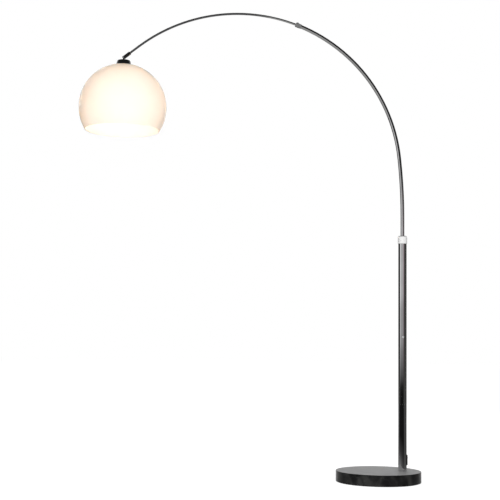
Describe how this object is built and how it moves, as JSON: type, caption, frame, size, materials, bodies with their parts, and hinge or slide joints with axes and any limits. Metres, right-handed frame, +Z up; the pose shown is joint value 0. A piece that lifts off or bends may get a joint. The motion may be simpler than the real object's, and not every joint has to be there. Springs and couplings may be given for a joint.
{
  "type": "arc floor lamp",
  "caption": "Arc floor lamp with a round stone base, chromed pole, curved telescopic arm and a hanging opal globe shade.",
  "frame": {"origin": "middle of the base's felt underside, on the floor", "axes": "+Z up along the pole, +X from the base's middle towards the pole, the arm reaches towards -X in the plane Y = 0"},
  "size_m": [1.4593, 0.3734, 1.9841],
  "materials": {
    "felt": "matte felt",
    "marble": "polished dark stone",
    "zinc_steel": "zinc plated",
    "chrome": "polished",
    "white_plastic": "gloss",
    "black_plastic": "satin",
    "rubber": "matte",
    "flex": "matte",
    "nylon": "matte",
    "satin_steel": "satin",
    "black_enamel": "gloss enamel",
    "bakelite": "moulded",
    "ceramic": "unglazed",
    "brass": "plain",
    "opal_acrylic": "opal, gloss",
    "bulb_cap_metal": "rolled",
    "frosted_glass": "frosted"
  },
  "bodies": {
    "stand": {"felt_pad": "felt", "marble_base": "marble", "base_bolt": "zinc_steel", "base_washer": "zinc_steel", "pole_plug": "zinc_steel", "pole_tube": "chrome", "pole_collar": "white_plastic", "collar_bush": "white_plastic", "collar_ring": "satin_steel", "lock_screw": "zinc_steel", "guide_screw": "zinc_steel", "switch_housing": "black_plastic", "cable_gland": "rubber", "pole_flex": "flex"},
    "switch": {"switch_rocker": "black_plastic"},
    "guide": {"slide_guide": "nylon"},
    "arc": {"arc_lower_tube": "chrome", "guide_rings": "zinc_steel", "foot_bush": "nylon", "arc_flex": "flex", "arm_clamp": "satin_steel", "clamp_bush": "nylon"},
    "clamp_knob": {"clamp_screw": "satin_steel"},
    "arm": {"arc_upper_tube": "chrome", "arm_stop": "nylon", "arm_ferrule": "black_enamel", "hinge_pin": "zinc_steel", "arm_flex": "flex"},
    "head": {"head_knuckle": "black_enamel", "shade_cap": "black_enamel", "lampholder_body": "bakelite", "lampholder_core": "ceramic", "centre_contact": "brass", "screw_shell": "brass", "shade_ring": "bakelite", "shade": "opal_acrylic", "bulb_cap": "bulb_cap_metal", "bulb_glass": "frosted_glass"}
  },
  "joints": [
    {"name": "switch_rock", "type": "hinge", "parent": "stand", "child": "switch", "pos_m": [0.1145, 0, 0.0915], "axis": [0, -1, 0], "range_deg": [0, 14]},
    {"name": "arc_height", "type": "slide", "parent": "stand", "child": "guide", "axis": [0, 0, 1], "range_m": [-0.07, 0.08]},
    {"name": "arc_swivel", "type": "hinge", "parent": "guide", "child": "arc", "pos_m": [0.1, 0, 1.023], "axis": [0, 0, 1], "range_deg": [-180, 180]},
    {"name": "clamp_screw_turn", "type": "hinge", "parent": "arc", "child": "clamp_knob", "pos_m": [-0.35371, 0, 1.93292], "axis": [0.3697, 0, 0.9291], "range_deg": [0, 270]},
    {"name": "arm_reach", "type": "hinge", "parent": "arc", "child": "arm", "pos_m": [-0.60335, 0, 1.28533], "axis": [0, -1, 0], "range_deg": [-32, 24]},
    {"name": "head_tilt", "type": "hinge", "parent": "arm", "child": "head", "pos_m": [-1.09563, 0, 1.78141], "axis": [0, -1, 0], "range_deg": [-50, 40]}
  ]
}
